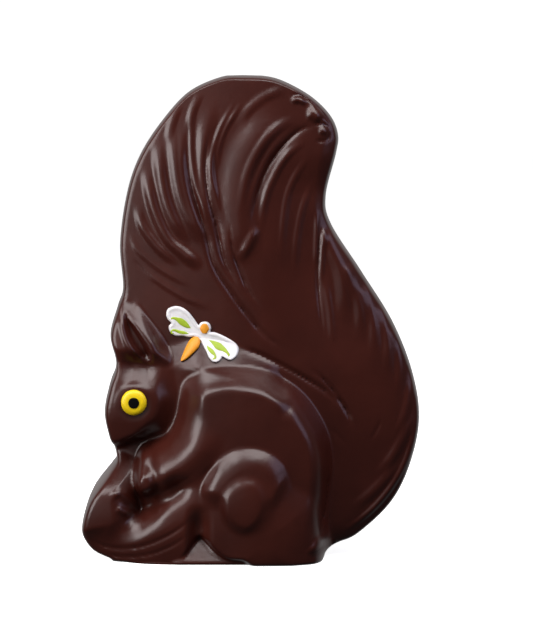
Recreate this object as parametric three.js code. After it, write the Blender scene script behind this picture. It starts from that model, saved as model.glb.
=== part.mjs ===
// A moulded dark chocolate squirrel with sugar eyes and a sugar dragonfly.
// Millimetres, +Z up. The nose points to -X, the tail rises behind it towards +X, and the side that
// carries the dragonfly faces -Y. The origin is the middle of the bounding box's bottom face.
//
// The figure comes from a mould in two halves that part at y = 0, so it has no undercuts: each half is a
// relief, a half thickness over the side outline. The relief is built up in layers, first the tail with
// its locks of fur, then torso, head, ear, arm, haunch, nut and foot, each laid over what is below it.
import * as THREE from "three";
import { mergeVertices } from "three/addons/utils/BufferGeometryUtils.js";

// ---- Driving sizes, in millimetres ----------------------------------------------------------------
const HEIGHT = 170;
const SHIFT_X = 0.2; // brings the middle of the outline's width to x = 0
const TAIL_HALF = 15.5; // half thickness of the tail at its thickest
const TAIL_TURN = 2.6; // how much thinner it gets towards the hollow of its back edge
const NECK_STEP = 5; // how far the shoulders swell out of the tail
const EAR_DEPTH = 3; // of the ear's hollow
// Crown of each part: where it is highest, its half thickness there, and its fall over a radius.
const CROWNS = {
  nut: { x: -49, z: 16, half: 25.6, radius: 18, fall: 3 },
  torso: { x: 2, z: 42, half: 28.6, radius: 47, fall: 3 },
  head: { x: -42, z: 54, half: 22.6, radius: 16, fall: 3 },
  ear: { x: -40, z: 80, half: 21.4, radius: 16, fall: 2 },
  foot: { x: -22, z: 16, half: 28.4, radius: 40, fall: 9 },
  haunch: { x: 1, z: 20, half: 32.8, radius: 40, fall: 4 },
  knee: { x: -1, z: 21, half: 34.4, radius: 16, fall: 2.2 },
};
const PAW = { x: -37, z: 28.6, half: 27.2, rx: 5.2, rz: 6.6, flank: 4 };
const KNEE = { x: -1, z: 21.5, rx: 10.8, rz: 10.8, flank: 6 };
const EYE = { x: -41, z: 56.5, radius: 4.5, height: 2 };
const EYE_SEAT = { x: EYE.x, z: EYE.z, half: 21.7, rx: 7.4, rz: 7.4, flank: 3.2 };
const PUPIL = { radius: 1.9, height: 0.5 };
const PLINTH = { x: -14, halfLength: 40, halfDepth: 28.6, fall: 3, edge: 1.2 };
const GROUND_FALL = 0.62; // slope of the ground between the legs
const SUGAR_GAP = 0.3; // between a sugar piece and what it lies on
const SUGAR_PLATE = 1.2; // thickness of the dragonfly's white plate
const SUGAR_FIELD = 0.5; // thickness of its green fields

// Facets: points round a ring and rings from the top to the base.
const RING = 88;
const ROWS = 60;

// ---- Outline of the figure seen from the side, as (x, z) -------------------------------------------
const FRONT = [
  [-50, 0], [-56, 2.6], [-59.5, 7], [-60.2, 12], [-57.2, 21.7], [-50.5, 31], [-48.2, 35.3], [-50.6, 43.4],
  [-52.1, 52], [-50.4, 61], [-48, 68.8], [-50, 79], [-47.5, 88.7], [-45.6, 95.5], [-46.6, 111],
  [-44, 129], [-39.4, 142], [-31.6, 154], [-22.1, 164.2], [-10.7, 169.4], [-3, 170],
];
const BACK = [
  [26, 0], [27.2, 2.2], [31, 4], [38.1, 7.2], [49.6, 18], [56.3, 31], [59.8, 48], [57.2, 65],
  [50, 83], [38.9, 100.8], [28.2, 117.5], [26.3, 127.5], [29.9, 142.5], [30.6, 149], [28, 155.6],
  [21.5, 162.2], [12.5, 167.4], [5.5, 169.6], [-3, 170],
];

// ---- Tail: locks of fur and the grooves between them, each a line from top to bottom -----------------
const LOCKS = [
  { width: 3, height: 0.9, line: [[-40.4, 126], [-38.4, 118], [-34.4, 112], [-29.8, 107.4], [-24, 104]] },
  { width: 3, height: 1.2, line: [[-36, 142], [-34.4, 130], [-31.4, 120], [-26.4, 112], [-19.4, 105.4]] },
  { width: 3.2, height: 1.3, line: [[-28.6, 155], [-28, 140], [-25.8, 128], [-21.8, 118.6], [-15.6, 110.6]] },
  { width: 3.4, height: 1.2, line: [[-14, 162], [-16.4, 148], [-16, 137], [-14.8, 126], [-13.6, 112]] },
  { width: 8.4, height: 1.9, line: [[12, 158], [3, 149], [-2.6, 139], [-4.4, 127], [-3.8, 114],
    [-3.4, 102]] },
  { width: 3, height: 0.8, line: [[20, 148], [12.6, 142.4], [8, 135], [4.6, 126], [3.2, 114]] },
  { width: 3, height: 0.6, line: [[22, 134], [18, 124], [15.8, 112], [15, 98]] },
  { width: 3.4, height: 1.2, line: [[16, 159.4], [20, 158.4], [25, 154.6]] },
  { width: 3.2, height: 1.4, line: [[26.4, 118], [28.6, 109], [31, 102], [31.4, 92], [30, 80]] },
  { width: 3, height: 1.1, line: [[34, 106], [36, 98], [37.6, 88], [37.2, 76]] },
  { width: 3, height: 1, line: [[41, 94], [43, 86], [43.6, 77], [42.6, 66]] },
  { width: 3, height: 0.8, line: [[48.4, 84], [50.6, 76], [51.4, 68], [50, 58]] },
  { width: 2.8, height: 0.9, line: [[58, 52], [56.4, 42], [52.8, 31.6], [46, 21.4], [38.2, 14], [30.6, 9]] },
];
const GROOVES = [
  { width: 2.8, depth: 1.5, line: [[-22.6, 150], [-22.6, 140], [-20.4, 128.6], [-16.6, 117.4], [-13.2, 104],
    [-7, 94], [-1, 86], [6, 78], [14, 73.6]] },
  { width: 2.8, depth: 1.6, line: [[-10.6, 152], [-11, 141], [-10.4, 130], [-9.6, 118], [-7.6, 105.6],
    [-3, 94]] },
  { width: 3, depth: 1.5, line: [[24, 153], [17, 151], [10, 144.4], [4.6, 136], [1.4, 126], [0, 117]] },
  { width: 2.8, depth: 1.2, line: [[23.9, 122], [23.6, 108], [23.4, 96], [24.6, 84], [25.6, 76]] },
  { width: 2.8, depth: 1.2, line: [[-5, 75], [2, 73], [12, 68], [20, 63.4], [27, 58.6], [32, 53]] },
];

// ---- Body: outlines of its parts, each at the foot of the part's flank -------------------------------
const NECK = [
  [-62, 76], [-50, 84], [-38, 80], [-31, 76], [-27, 76.5], [-20, 78.4], [-10, 77.4], [0, 74], [10, 67],
  [10, 50], [0, 34], [-30, 32], [-38, 42], [-62, 44],
];
const TORSO = [
  [-26, 58], [-25, 62.4], [-21.8, 66.2], [-15.6, 68.4], [-6, 69], [4, 67.6], [12, 64], [18.6, 58.8],
  [23.6, 52], [27, 45], [28.8, 37], [28.8, 28], [27.6, 14], [26, -14], [-34, -14], [-37, 6], [-40, 20],
  [-41.6, 28], [-41.6, 34], [-39.6, 39], [-36, 42.4], [-30.6, 45.2], [-27.4, 51],
];
const HEAD = [
  [-27.6, 74], [-26, 69], [-25.4, 63], [-25.6, 57], [-26.9, 50.6], [-30, 45.6], [-36, 42.8],
  [-41, 41], [-49, 38.6], [-62, 42], [-66, 58], [-62, 78], [-46, 84], [-34, 80],
];
const EAR = [
  [-44.4, 94], [-41, 91], [-37, 87], [-33, 82.4], [-29.6, 77.4], [-27.4, 72], [-28.6, 68.4],
  [-34, 68], [-38, 68.6], [-43.4, 69.2], [-50, 70], [-62, 74], [-62, 90],
];
const EAR_HOLLOW = [
  [-44.8, 87.8], [-41.3, 84.6], [-38, 80], [-35.2, 75], [-34.4, 72], [-36, 70.4], [-38.8, 71.2],
  [-41.4, 74.4], [-43.8, 78.4], [-45.2, 83],
];
const NUT = [
  [-43.5, 37.5], [-38, 34], [-34, 24], [-34, 10], [-44, -6], [-60, -14], [-78, 0], [-78, 22],
  [-70, 34], [-58, 38.5], [-50, 38.8],
];
const FOOT = [
  [-58, 12], [-48, 14.4], [-44, 15.3], [-39.3, 17.8], [-33.3, 20.5], [-28.7, 22.8], [-25, 25.8],
  [-21.2, 29.4], [-14, 36], [-10, 30], [-10, -14], [-72, -14], [-72, 8],
];
const HAUNCH = [
  [-18.2, 4], [-18.4, 15], [-18.2, 26], [-16.2, 31.4], [-12.6, 36.4], [-7, 40.6], [0, 41.8],
  [6.6, 40.2], [11.4, 36], [14.8, 30], [24, 22], [27, 6], [24, -12], [-17, -12],
];
// The sloping ground that fills the gap between foot and haunch.
const GROUND = [
  [-29, 0], [-24.6, 3.4], [-20.6, 8.6], [-18, 10.4], [-15, 8.6], [-9, 3.6], [-1, 2], [3, -6], [-30, -6],
];
const FOREARM = { width: 7, height: 1.3, line: [[-14, 49], [-17, 42], [-22.5, 36], [-30, 31], [-37, 27.6]] };
// The hollow between forearm and foot.
const BELLY = { width: 7, height: 3, line: [[-42, 19], [-36, 21], [-30, 23.6], [-25, 26.6], [-20.6, 31]] };
// The valley between foot and haunch.
const LAP = { width: 5, height: 3, line: [[-18.4, -8], [-18.4, 0], [-18.3, 8], [-18, 22]] };

// ---- Outlines of the sugar dragonfly, counterclockwise and each star-shaped about its own centre ------
const DRAGONFLY = {
  centre: [-17.2, 80],
  outline: [
    [-16.3, 84.2], [-17.8, 83.8], [-18.6, 83], [-20, 85], [-22, 87.5], [-24.5, 89.2], [-27, 89.5],
    [-29.3, 88.5], [-29.9, 86.5], [-29.3, 84.8], [-28.2, 83.5], [-29, 82.5], [-28.8, 80.8],
    [-27.5, 79.5], [-26, 79], [-24, 79], [-22, 78.6], [-20, 78.7], [-17.9, 77.6], [-17, 76],
    [-15.8, 73.8], [-14.8, 71.8], [-13.5, 70.5], [-11.8, 70.3], [-10.5, 71.3], [-10, 72], [-7.8, 71],
    [-6.3, 71.3], [-5, 72.5], [-4.4, 74.5], [-5.3, 76.3], [-7.5, 78], [-10, 79.3], [-12.5, 80.3],
    [-14.3, 80.6], [-14.1, 82], [-14.8, 83.6],
  ],
};
const GREEN_FIELDS = [
  [[-21.5, 82], [-22, 83.5], [-23.5, 85], [-25, 85.8], [-26.9, 85.9], [-28, 85.2], [-26.3, 84.5],
    [-25.5, 83.2], [-24, 82.3]],
  [[-22.3, 79.9], [-23, 80.9], [-25, 81.1], [-26.6, 81.5], [-27.6, 81.2], [-27.5, 80.2],
    [-26.6, 80.1], [-24.8, 79.9], [-23, 79.6]],
  [[-14.7, 77.5], [-13.5, 76.3], [-12.5, 75], [-11, 73.8], [-9.9, 73.7], [-8.4, 72.6], [-7.8, 72.8],
    [-7.8, 73.6], [-9, 75], [-10.5, 76.2], [-12.5, 77.3]],
  [[-15.2, 76], [-15.4, 75], [-14.9, 74], [-14.3, 73.1], [-13.7, 72.1], [-12.6, 71.5], [-12.1, 72.3],
    [-12.8, 73.8], [-14, 75]],
];
const ABDOMEN = [
  [-18.3, 77.3], [-19.8, 78], [-21.2, 77.9], [-22.5, 76.6], [-23.8, 74.5], [-24.6, 72],
  [-24.7, 70.6], [-24, 70.3], [-22, 71], [-19.7, 73.3], [-18, 75.8],
];
const SUGAR_HEAD = { x: -16.4, z: 81.8, radius: 1.6 };

// ---- Curves -------------------------------------------------------------------------------------------
// Catmull-Rom curve through points that may carry more than two numbers each.
function through(points, steps, closed = false) {
  const count = points.length;
  const at = (i) => (closed ? points[(i + count) % count] : points[Math.min(Math.max(i, 0), count - 1)]);
  const line = [];
  for (let i = 0; i < (closed ? count : count - 1); i++) {
    const [a, b, c, d] = [at(i - 1), at(i), at(i + 1), at(i + 2)];
    for (let k = 0; k < steps; k++) {
      const t = k / steps;
      line.push(b.map((p, n) => catmullRom(a[n], p, c[n], d[n], t)));
    }
  }
  line.push(closed ? points[0] : points[count - 1]);
  return line;
}

function catmullRom(a, b, c, d, t) {
  const v0 = (c - a) / 2;
  const v1 = (d - b) / 2;
  return (2 * b - 2 * c + v0 + v1) * t ** 3 + (-3 * b + 3 * c - 2 * v0 - v1) * t ** 2 + v0 * t + b;
}

// A line with the running length at each of its points.
function measured(line) {
  const run = [0];
  for (let i = 1; i < line.length; i++) {
    run.push(run[i - 1] + Math.hypot(line[i][0] - line[i - 1][0], line[i][1] - line[i - 1][1]));
  }
  return { line, run, total: run.at(-1) };
}

// Where along a segment from a to b the point (x, z) is nearest, and how far away it is.
function foot(x, z, a, b) {
  const dx = b[0] - a[0];
  const dz = b[1] - a[1];
  const length2 = dx * dx + dz * dz;
  const t = THREE.MathUtils.clamp(((x - a[0]) * dx + (z - a[1]) * dz) / length2, 0, 1);
  return [t, Math.hypot(x - a[0] - t * dx, z - a[1] - t * dz)];
}

// Distance to a measured line, and the share of its length at the nearest point.
function nearest(x, z, { line, run, total }) {
  let gap = Infinity;
  let share = 0;
  for (let i = 1; i < line.length; i++) {
    const [t, distance] = foot(x, z, line[i - 1], line[i]);
    if (distance < gap) {
      gap = distance;
      share = (run[i - 1] + t * (run[i] - run[i - 1])) / total;
    }
  }
  return [gap, share];
}

function within(x, z, { line }) {
  let inside = false;
  for (let i = 1; i < line.length; i++) {
    const [a, b] = [line[i - 1], line[i]];
    if (a[1] > z !== b[1] > z && x < a[0] + ((z - a[1]) * (b[0] - a[0])) / (b[1] - a[1])) inside = !inside;
  }
  return inside;
}

// The x of an outline at a height.
function across(line, z) {
  const i = Math.max(1, line.findIndex((point) => point[1] >= z));
  const [a, b] = [line[i - 1], line[i]];
  const t = THREE.MathUtils.clamp((z - a[1]) / (b[1] - a[1]), 0, 1);
  return a[0] + t * (b[0] - a[0]);
}

// ---- Profiles -------------------------------------------------------------------------------------------
const smooth = (t) => THREE.MathUtils.smoothstep(t, 0, 1);
const quarter = (t) => Math.sqrt(1 - (1 - THREE.MathUtils.clamp(t, 0, 1)) ** 2);
const cover = (below, top, share) => below + (top - below) * share;
const taper = (share, head, tail) => smooth(share / head) * smooth((1 - share) / tail);

// A flank that leaves its valley in a short fillet and rounds off over the rest of its width.
function swell(t, start, end) {
  const s = THREE.MathUtils.clamp(t, 0, 1);
  if (s < start) return (s * s) / start / (1 + end - start);
  const flank = Math.min(s, end) - start / 2;
  const top = s > end ? ((1 - end) ** 2 - (1 - s) ** 2) / (2 * (1 - end)) : 0;
  return (2 * (flank + top)) / (1 + end - start);
}

const steep = (t) => swell(t, 0.12, 0.6);
const crown = (t) => swell(t, 0.12, 0.16);

// A part of the body inside a closed outline, with a flank of the given width: 0 outside, 1 on top.
function patch(x, z, outline, flank, profile = smooth) {
  return within(x, z, outline) ? profile(nearest(x, z, outline)[0] / flank) : 0;
}

function disc(x, z, { x: cx, z: cz, rx, rz, flank }) {
  return smooth(((1 - Math.hypot((x - cx) / rx, (z - cz) / rz)) * Math.min(rx, rz)) / flank);
}

function dome(x, z, { x: cx, z: cz, half, radius, fall }) {
  return half - (fall * ((x - cx) ** 2 + (z - cz) ** 2)) / radius ** 2;
}

// A rounded ridge, and a groove with a sharp bottom, along a line.
function ridge(x, z, { width, height, path }) {
  const [gap, share] = nearest(x, z, path);
  const t = Math.min(gap / width, 1);
  return height * (1 - t * t) ** 2 * taper(share, 0.3, 0.3);
}

function groove(x, z, { width, depth, path }) {
  const [gap, share] = nearest(x, z, path);
  return -depth * (1 - quarter(gap / width)) * taper(share, 0.3, 0.3);
}

// ---- Relief: half thickness of the chocolate at (x, z) ------------------------------------------------
const frontLine = through(FRONT, 12);
const backLine = through(BACK, 12);
const outline = measured([...frontLine, ...backLine.toReversed()]);
const closed = (points) => measured(through(points, 8, true));
const [neck, torso, head, ear, earHollow] = [NECK, TORSO, HEAD, EAR, EAR_HOLLOW].map(closed);
const [nut, hindFoot, haunch, ground] = [NUT, FOOT, HAUNCH, GROUND].map(closed);
const laid = (form) => ({ ...form, path: measured(through(form.line, 6)) });
const [locks, grooves] = [LOCKS, GROOVES].map((forms) => forms.map(laid));
const [forearm, belly, lap] = [FOREARM, BELLY, LAP].map(laid);

// A broad cushion, thinner to the sides and to the top, with its locks of fur.
function tailRelief(x, z) {
  const side = (x + 2) / (x < -2 ? 46 : 58);
  const turn = smooth((x - 3) / 20) * smooth((z - 62) / 40) * (1 - smooth((z - 128) / 16));
  let h = TAIL_HALF - 4.5 * side ** 2 - 3.6 * Math.max((z - 88) / 78, 0) ** 2 - TAIL_TURN * turn;
  for (const lock of locks) h += ridge(x, z, lock);
  for (const line of grooves) h += groove(x, z, line);
  return h;
}

function bodyRelief(x, z, below, edge) {
  let h = below + NECK_STEP * edge * patch(x, z, neck, 10);
  const lay = (top, share) => {
    h = cover(h, top, share);
  };
  lay(dome(x, z, CROWNS.nut) * edge, patch(x, z, nut, 16, steep));
  lay(dome(x, z, CROWNS.torso) * edge, patch(x, z, torso, shoulder(x, z), crown));
  h -= ridge(x, z, belly);
  lay(headHalf(x, z) * edge, patch(x, z, head, 4 + 4 * smooth((x + 43) / 10), steep));
  lay(earHalf(x, z) * edge, patch(x, z, ear, 6, steep));
  h -= EAR_DEPTH * patch(x, z, earHollow, 4);
  lay(PAW.half, disc(x, z, PAW));
  lay(dome(x, z, CROWNS.foot) * edge, patch(x, z, hindFoot, 9, crown));
  const fade = 7 + 14 * Math.max(smooth((x - 0.9 * (z - 21) - 2) / 8), smooth((27 - z) / 8));
  lay(dome(x, z, CROWNS.haunch), patch(x, z, haunch, fade, crown));
  lay(dome(x, z, CROWNS.knee), disc(x, z, KNEE));
  h += ridge(x, z, forearm) - ridge(x, z, lap);
  lay(EYE_SEAT.half, disc(x, z, EYE_SEAT));
  return h;
}

// Width of the torso's flank: narrow at the throat, and narrower over the back than along the arm.
function shoulder(x, z) {
  const back = Math.max(smooth((x + 21) / 6) * smooth((z - 50) / 8), smooth((x - 8) / 8));
  return 12 - 6 * smooth((-34 - x) / 6) - 3 * back;
}

// The head falls away to the forehead, and the ear to its tip.
function headHalf(x, z) {
  return dome(x, z, CROWNS.head) - 3 * smooth((z - 59) / 10) * smooth((x + 49) / 8) * smooth((-30 - x) / 7);
}

function earHalf(x, z) {
  return dome(x, z, CROWNS.ear) - 0.25 * Math.max(z - 70, 0) - 0.25 * Math.max(z - 84, 0);
}

// The flat foot under the figure, and the ground that rises from it between the legs.
function plinthRelief(x, z, below) {
  const u = Math.min(Math.abs(x - PLINTH.x) / PLINTH.halfLength, 1);
  let h = Math.max(below, PLINTH.halfDepth * Math.sqrt(1 - u ** 4) - PLINTH.fall * z);
  h = cover(h, PLINTH.halfDepth - GROUND_FALL * z, patch(x, z, ground, 3));
  return below > PLINTH.edge ? h - PLINTH.edge * (1 - quarter(z / PLINTH.edge)) : h;
}

function relief(x, z) {
  const [gap] = nearest(x, z, outline);
  const right = smooth((x - 18) / 12);
  const [wall, corner] = [0.78 - 0.2 * right, 0.14 + 0.2 * right];
  const edge = wall * quarter(gap / 1.5) + corner * quarter(gap / (2.8 + 7 * right))
    + (1 - wall - corner) * quarter(gap / 24);
  const h = bodyRelief(x, z, tailRelief(x, z) * edge, edge);
  return Math.max(plinthRelief(x, z, h), 0);
}

// ---- Solids -------------------------------------------------------------------------------------------
// A sphere whose points are moved to place(u, v): u runs once round it and v from the top to the bottom.
function shaped(segments, rows, place) {
  const geometry = new THREE.SphereGeometry(1, segments, rows);
  const { position, uv } = geometry.attributes;
  for (let i = 0; i < position.count; i++) {
    const row = Math.round((1 - uv.getY(i)) * rows);
    const column = row === 0 || row === rows ? 0 : Math.round(uv.getX(i) * segments) % segments;
    position.setXYZ(i, ...place(column / segments, row, rows));
  }
  geometry.deleteAttribute("normal");
  geometry.deleteAttribute("uv");
  const merged = mergeVertices(geometry, 1e-4);
  merged.computeVertexNormals();
  return merged;
}

// Rings at growing depth below the top: closer together at the round top and at the foot.
const level = (row, rows) => HEIGHT * (1 - (row / (rows - 1)) ** 1.25) ** 1.12;

function bodyPoint(u, row, rows) {
  if (row === 0) return [FRONT.at(-1)[0] + SHIFT_X, 0, HEIGHT];
  if (row === rows) return [PLINTH.x + SHIFT_X, 0, 0];
  const z = level(row, rows);
  const [left, right] = [across(frontLine, z), across(backLine, z)];
  const t = u < 0.5 ? 2 * u : 2 - 2 * u;
  const reach = 0.55 * (2 * t - 1) - 0.45 * Math.cos(Math.PI * t);
  const x = (left + right) / 2 + ((right - left) / 2) * reach;
  const half = t === 0 || t === 1 ? 0 : relief(x, z);
  return [x + SHIFT_X, u < 0.5 ? -half : half, z];
}

// A rounded plate that follows the chocolate at a distance, inside an outline round a centre.
function drapedPlate(points, centre, lift, thickness, segments, rows) {
  const rim = through(points, 8, true);
  return shaped(segments, rows, (u, row) => {
    const share = 1 - (2 * row) / rows;
    const place = u * (rim.length - 1);
    const low = Math.floor(place);
    const radius = 1 - Math.abs(share) ** 1.8;
    const [x, z] = [0, 1].map((n) => {
      const edge = THREE.MathUtils.lerp(rim[low][n], rim[Math.min(low + 1, rim.length - 1)][n], place - low);
      return THREE.MathUtils.lerp(centre[n], edge, radius);
    });
    const height = 0.5 + 0.5 * Math.sign(share) * quarter(Math.abs(share) / 0.5);
    return [x + SHIFT_X, -(relief(x, z) + lift + thickness * height), z];
  });
}

// A round button turned about Y, from its flat back to its rounded front.
function button(radius, height, flat, segments) {
  const profile = [new THREE.Vector2(0, 0), new THREE.Vector2(radius, 0)];
  for (let k = 1; k <= 5; k++) {
    const angle = (k / 5) * (Math.PI / 2);
    profile.push(new THREE.Vector2(
      flat + (radius - flat) * Math.cos(angle),
      height * (0.25 + 0.75 * Math.sin(angle)),
    ));
  }
  profile.push(new THREE.Vector2(0, height));
  return new THREE.LatheGeometry(profile, segments);
}

// ---- Materials ----------------------------------------------------------------------------------------
const coat = (color, roughness) => new THREE.MeshStandardMaterial({ color, roughness, metalness: 0 });
const CHOCOLATE = coat(0x432420, 0.22);
const YELLOW = coat(0xf6d818, 0.4);
const BLACK = coat(0x0a0a0a, 0.5);
const WHITE = coat(0xf0f0f0, 0.5);
const GREEN = coat(0xa5c82d, 0.55);
const ORANGE = coat(0xf0a41e, 0.45);

// ---- The group ----------------------------------------------------------------------------------------
const squirrel = new THREE.Group();

function add(name, geometry, material) {
  const mesh = new THREE.Mesh(geometry, material);
  mesh.name = name;
  squirrel.add(mesh);
  return mesh;
}

// side is -1 for the side that shows and 1 for the other one.
function addEye(name, side) {
  const eye = add(`eye_${name}`, button(EYE.radius, EYE.height, PUPIL.radius + 0.3, 28), YELLOW);
  const pupil = add(`pupil_${name}`, button(PUPIL.radius, PUPIL.height, PUPIL.radius - 0.3, 20), BLACK);
  const back = EYE_SEAT.half + SUGAR_GAP;
  for (const [mesh, y] of [[eye, back], [pupil, back + EYE.height + SUGAR_GAP]]) {
    mesh.rotation.x = side < 0 ? Math.PI : 0;
    mesh.position.set(EYE.x + SHIFT_X, side * y, EYE.z);
  }
}

function middle(points) {
  return [0, 1].map((n) => points.reduce((sum, point) => sum + point[n], 0) / points.length);
}

function circle({ x, z, radius }) {
  return Array.from({ length: 12 }, (_, i) => {
    const angle = (i / 12) * 2 * Math.PI;
    return [x + radius * Math.cos(angle), z + radius * Math.sin(angle)];
  });
}

function addDragonfly() {
  const plate = drapedPlate(DRAGONFLY.outline, DRAGONFLY.centre, SUGAR_GAP, SUGAR_PLATE, 72, 8);
  add("dragonfly_wings", plate, WHITE);
  const onPlate = 2 * SUGAR_GAP + SUGAR_PLATE;
  GREEN_FIELDS.forEach((field, i) => {
    add(`wing_field_${i + 1}`, drapedPlate(field, middle(field), onPlate, SUGAR_FIELD, 16, 6), GREEN);
  });
  const disc = circle(SUGAR_HEAD);
  add("dragonfly_head", drapedPlate(disc, middle(disc), onPlate, 0.8, 18, 6), ORANGE);
  add("dragonfly_abdomen", drapedPlate(ABDOMEN, middle(ABDOMEN), SUGAR_GAP, 1.9, 20, 6), ORANGE);
}

add("chocolate_body", shaped(RING, ROWS, bodyPoint), CHOCOLATE);
addEye("near", -1);
addEye("far", 1);
addDragonfly();

export default squirrel;
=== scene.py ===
"""A moulded dark chocolate squirrel with sugar eyes and a sugar dragonfly, laid out as an add-on.

Metres in the scene, millimetres in the shape's own tables. The nose points to -X, the tail rises towards
+X, and the side that carries the dragonfly faces -Y. The figure comes from a mould in two halves that part
at y = 0, so each half is a relief: a half thickness over the side outline, built up in layers.
"""

import math

import bmesh
import bpy
import numpy as np
from mathutils import Matrix, Vector


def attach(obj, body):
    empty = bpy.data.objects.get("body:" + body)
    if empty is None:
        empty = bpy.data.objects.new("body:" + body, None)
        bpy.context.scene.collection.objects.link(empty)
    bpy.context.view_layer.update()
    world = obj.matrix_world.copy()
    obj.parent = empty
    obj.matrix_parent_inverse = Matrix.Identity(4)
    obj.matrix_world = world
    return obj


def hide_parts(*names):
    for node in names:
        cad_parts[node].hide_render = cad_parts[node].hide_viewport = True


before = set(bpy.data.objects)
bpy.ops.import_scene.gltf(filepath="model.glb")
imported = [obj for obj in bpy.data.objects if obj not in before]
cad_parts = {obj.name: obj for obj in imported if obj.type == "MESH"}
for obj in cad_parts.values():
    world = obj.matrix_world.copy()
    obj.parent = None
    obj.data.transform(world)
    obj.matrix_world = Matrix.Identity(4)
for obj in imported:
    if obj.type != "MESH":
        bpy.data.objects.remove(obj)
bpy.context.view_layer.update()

bl_info = {
    "name": "Chocolate squirrel",
    "version": (1, 0, 0),
    "blender": (4, 5, 0),
    "location": "View3D > Sidebar > Squirrel",
    "description": "Builds a moulded chocolate squirrel with its sugar decorations and a soft studio",
    "category": "Add Mesh",
}

MM = 0.001

# ---- Studio, in metres: each soft box is (degrees round the camera's line of sight from the right, degrees
# ---- off it, width and height, radiance, tint) -----------------------------------------------------------
CAMERA_TILT = math.radians(6)
CAMERA_DISTANCE = 1.0
CAMERA_TARGET = Vector((0.0055, 0, 0.08525))
PICTURE_HEIGHT = 0.628 / 2.81  # at the figure: the photo is 628 pixels high, at 2.81 pixels a millimetre
LIT_POINT = Vector((0, 0, 0.075))
SOFTBOX_DISTANCE = 0.7
SOFTBOXES = {
    "left": (168, 58, (0.36, 0.42), 6.0, "#FFFAFA"),
    "upper_left": (124, 58, (0.42, 0.38), 6.0, "#FFFAFA"),
    "top": (72, 60, (0.62, 0.36), 5.6, "#FFFAFA"),
    "right": (26, 64, (0.4, 0.44), 1.4, "#DAD9FF"),
    "front": (165, 24, (0.44, 0.5), 0.35, "#FFFAFA"),
}

# ---- Outline of the figure seen from the side, as (x, z) in millimetres --------------------------------
FRONT = [
    (-50, 0), (-56, 2.6), (-59.5, 7), (-60.2, 12), (-57.2, 21.7), (-50.5, 31), (-48.2, 35.3), (-50.6, 43.4),
    (-52.1, 52), (-50.4, 61), (-48, 68.8), (-50, 79), (-47.5, 88.7), (-45.6, 95.5), (-46.6, 111),
    (-44, 129), (-39.4, 142), (-31.6, 154), (-22.1, 164.2), (-10.7, 169.4), (-3, 170),
]
BACK = [
    (26, 0), (27.2, 2.2), (31, 4), (38.1, 7.2), (49.6, 18), (56.3, 31), (59.8, 48), (57.2, 65),
    (50, 83), (38.9, 100.8), (28.2, 117.5), (26.3, 127.5), (29.9, 142.5), (30.6, 149), (28, 155.6),
    (21.5, 162.2), (12.5, 167.4), (5.5, 169.6), (-3, 170),
]
SHIFT_X = 0.2  # brings the middle of the outline's width to x = 0

# ---- Tail ------------------------------------------------------------------------------------------------
TAIL_HALF = 15.5  # half thickness at the thickest
TAIL_MIDDLE = (-2, 88)  # it gets thinner to both sides of this, and above it
TAIL_REACH = (46, 58, 78)  # from there to its left side, its right side and its top
TAIL_SIDE_FALL = 4.5  # how much thinner it is at its sides
TAIL_TOP_FALL = 3.6  # and at its top
TAIL_TURN = 2.6  # and towards the hollow of its back edge
# Ridges and grooves, each (width, height or depth, share of its length over which it rises, share over
# which it sinks, knots along it).
LEFT_LOCKS = [
    (1.5, 0.4, 0.3, 0.4, [(-42.6, 116), (-40.6, 110), (-36.8, 106.2), (-31, 102), (-24.5, 98.4), (-19, 96)]),
    (2.2, 0.95, 0.35, 0.35, [(-40.4, 126), (-38.4, 118), (-34.4, 112), (-29.8, 107.4), (-24, 104)]),
    (2.8, 1.35, 0.3, 0.15, [(-37, 140), (-35.9, 131), (-33.5, 122), (-29.2, 113), (-23.6, 108),
                            (-17.4, 102.8)]),
    (3.3, 1.5, 0.35, 0.25, [(-32.6, 150), (-31.8, 137), (-30, 127), (-26.6, 118.4), (-21.4, 110.6)]),
    (3.8, 1.6, 0.35, 0.25, [(-27.6, 155), (-26.6, 140), (-24.8, 129), (-21.2, 119.6), (-15.6, 110.6)]),
    (2.2, 0.85, 0.35, 0.25, [(-24, 156), (-23.7, 141), (-22, 130), (-19.2, 121.4), (-15.8, 113)]),
    (1.5, 0.7, 0.3, 0.3, [(-20.6, 160), (-21, 145), (-19.6, 133), (-16.8, 123), (-14.8, 112)]),
    (4.0, 1.3, 0.35, 0.3, [(-14, 162), (-16.4, 148), (-16, 137), (-14.8, 126), (-13.6, 112)]),
    (1.3, 0.45, 0.3, 0.4, [(-40, 104), (-35.6, 100.4), (-30, 96.4), (-22, 92), (-12.5, 88.4)]),
    (2.1, 0.45, 0.4, 0.4, [(-24.6, 161.4), (-27.6, 154), (-29.6, 146)]),
    (2.1, 0.5, 0.4, 0.5, [(-17.4, 165), (-20.8, 157), (-22.6, 148)]),
]
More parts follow.
